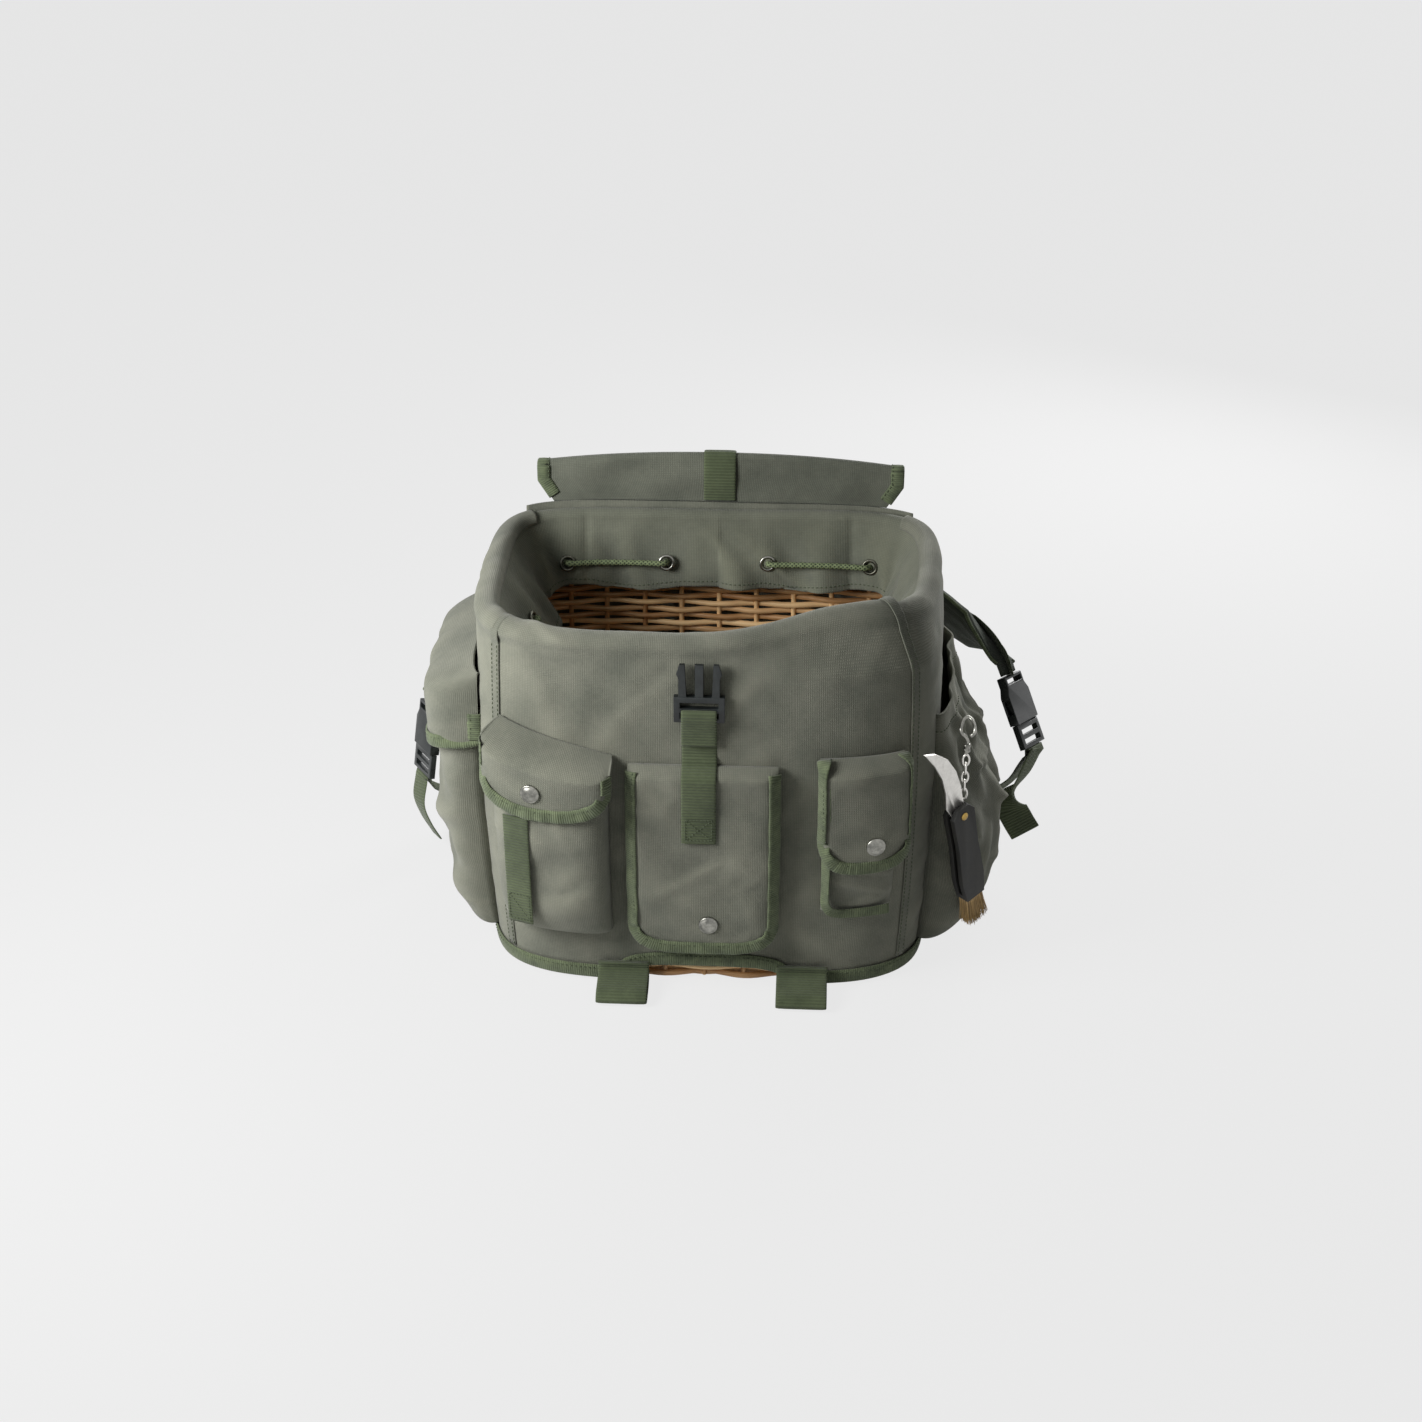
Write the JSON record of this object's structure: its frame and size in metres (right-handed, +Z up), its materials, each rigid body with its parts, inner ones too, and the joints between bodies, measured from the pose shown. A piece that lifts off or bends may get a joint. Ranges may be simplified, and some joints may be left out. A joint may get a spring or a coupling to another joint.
{
  "type": "pack basket",
  "caption": "Woven willow pack basket in an olive canvas backpack cover, with a folding lid, drawcord collar, outside pockets, shoulder straps and a folding foraging knife.",
  "frame": {"origin": "middle of the basket's underside, on the surface that it stands on", "axes": "+X to the viewer's right seen from the front, -Y out of the front, +Y to the wearer's back, +Z up"},
  "size_m": [0.5172, 0.3451, 0.328],
  "materials": {
    "willow": "peeled willow, woven",
    "canvas": "olive grey canvas, plain weave",
    "binding_tape": "ribbed binding tape",
    "webbing": "ribbed webbing",
    "strap_padding": "padded cloth",
    "buckle_plastic": "moulded acetal",
    "cord_yarn": "braided cord",
    "nickel": "nickel plated, dull",
    "blade_steel": "brushed steel",
    "knife_grip": "dark dyed grip",
    "bristle": "natural bristle"
  },
  "bodies": {
    "root": {"basket_base": "willow", "basket_wall": "willow", "basket_rim": "willow", "front_panel": "canvas", "right_side_panel": "canvas", "left_side_panel": "canvas", "back_panel": "canvas", "hem_binding": "binding_tape", "collar": "canvas", "eyelet_back_left_outer": "nickel", "eyelet_back_left_inner": "nickel", "eyelet_back_right_inner": "nickel", "eyelet_back_right_outer": "nickel", "eyelet_left_back": "nickel", "eyelet_left_front": "nickel", "eyelet_front_left": "nickel", "eyelet_front_right": "nickel", "drawcord": "cord_yarn", "centre_pocket_body": "canvas", "left_pocket_body": "canvas", "left_pocket_tab": "webbing", "right_pouch_body": "canvas", "left_side_pocket_body": "canvas", "right_side_pocket_body": "canvas", "front_strap": "webbing", "right_shoulder_pad": "strap_padding", "right_buckle_socket": "buckle_plastic", "right_buckle_plug": "buckle_plastic", "right_strap_webbing": "webbing", "left_shoulder_pad": "strap_padding", "left_buckle_socket": "buckle_plastic", "left_buckle_plug": "buckle_plastic", "left_strap_webbing": "webbing", "left_bottom_loop": "webbing", "right_bottom_loop": "webbing"},
    "lid_panel": {"lid_inner": "canvas", "lid_strap_lower": "webbing"},
    "lid_cover": {"lid_outer": "canvas", "lid_binding": "binding_tape", "lid_strap_upper": "webbing"},
    "lid_tail": {"lid_strap_tail": "webbing", "lid_buckle_socket": "buckle_plastic"},
    "centre_flap": {"centre_pocket_flap": "canvas", "centre_flap_binding": "binding_tape", "centre_snap": "nickel", "front_strap_sewn": "webbing"},
    "front_plug": {"front_buckle_plug": "buckle_plastic"},
    "left_flap": {"left_pocket_flap": "canvas", "left_flap_binding": "binding_tape", "left_snap": "nickel"},
    "right_flap": {"right_pouch_flap": "canvas", "right_flap_binding": "binding_tape", "right_snap": "nickel"},
    "left_side_flap": {"left_side_pocket_flap": "canvas"},
    "knife": {"knife_snap_hook": "nickel", "knife_chain": "blade_steel", "knife_handle": "knife_grip", "knife_brush": "bristle"},
    "blade": {"knife_blade": "blade_steel"},
    "cord_stop": {"cord_lock": "buckle_plastic"}
  },
  "joints": [
    {"name": "lid_hinge", "type": "hinge", "parent": "root", "child": "lid_panel", "pos_m": [0, 0.1184, 0.292], "axis": [1, 0, 0], "range_deg": [0, 80]},
    {"name": "lid_fold", "type": "hinge", "parent": "lid_panel", "child": "lid_cover", "pos_m": [0, 0.12473, 0.32758], "axis": [1, 0, 0], "range_deg": [0, 171.5]},
    {"name": "lid_strap_swing", "type": "hinge", "parent": "lid_cover", "child": "lid_tail", "pos_m": [0, 0.18778, 0.12332], "axis": [1, 0, 0], "range_deg": [-10, 60]},
    {"name": "centre_flap_lift", "type": "hinge", "parent": "root", "child": "centre_flap", "pos_m": [0, -0.12118, 0.195], "axis": [-1, 0, 0], "range_deg": [0, 90]},
    {"name": "front_plug_tilt", "type": "hinge", "parent": "root", "child": "front_plug", "pos_m": [-0.0025, -0.1226, 0.231], "axis": [1, 0, 0], "range_deg": [0, 90]},
    {"name": "left_flap_lift", "type": "hinge", "parent": "root", "child": "left_flap", "pos_m": [-0.10561, -0.11663, 0.211], "axis": [-0.9466, 0.2204, 0.2353], "range_deg": [0, 100]},
    {"name": "right_flap_lift", "type": "hinge", "parent": "root", "child": "right_flap", "pos_m": [0.11282, -0.11545, 0.202], "axis": [-0.9691, -0.2468, 0], "range_deg": [0, 100]},
    {"name": "left_side_flap_lift", "type": "hinge", "parent": "root", "child": "left_side_flap", "pos_m": [-0.17193, 0, 0.24], "axis": [-0.0368, 0.9993, 0], "range_deg": [0, 98]},
    {"name": "knife_swing", "type": "hinge", "parent": "root", "child": "knife", "pos_m": [0.188, -0.0845, 0.216], "axis": [-1, 0, 0], "range_deg": [0, 65]},
    {"name": "blade_fold", "type": "hinge", "parent": "knife", "child": "blade", "pos_m": [0.18503, -0.09961, 0.14575], "axis": [0.6691, -0.7431, 0], "range_deg": [0, 164]},
    {"name": "cord_stop_slide", "type": "slide", "parent": "root", "child": "cord_stop", "axis": [0, 0, 1], "range_m": [-0.02, 0.008]}
  ],
  "couplings": [
    {"joint": "lid_fold", "follows": "lid_hinge", "ratio": 2.14}
  ]
}
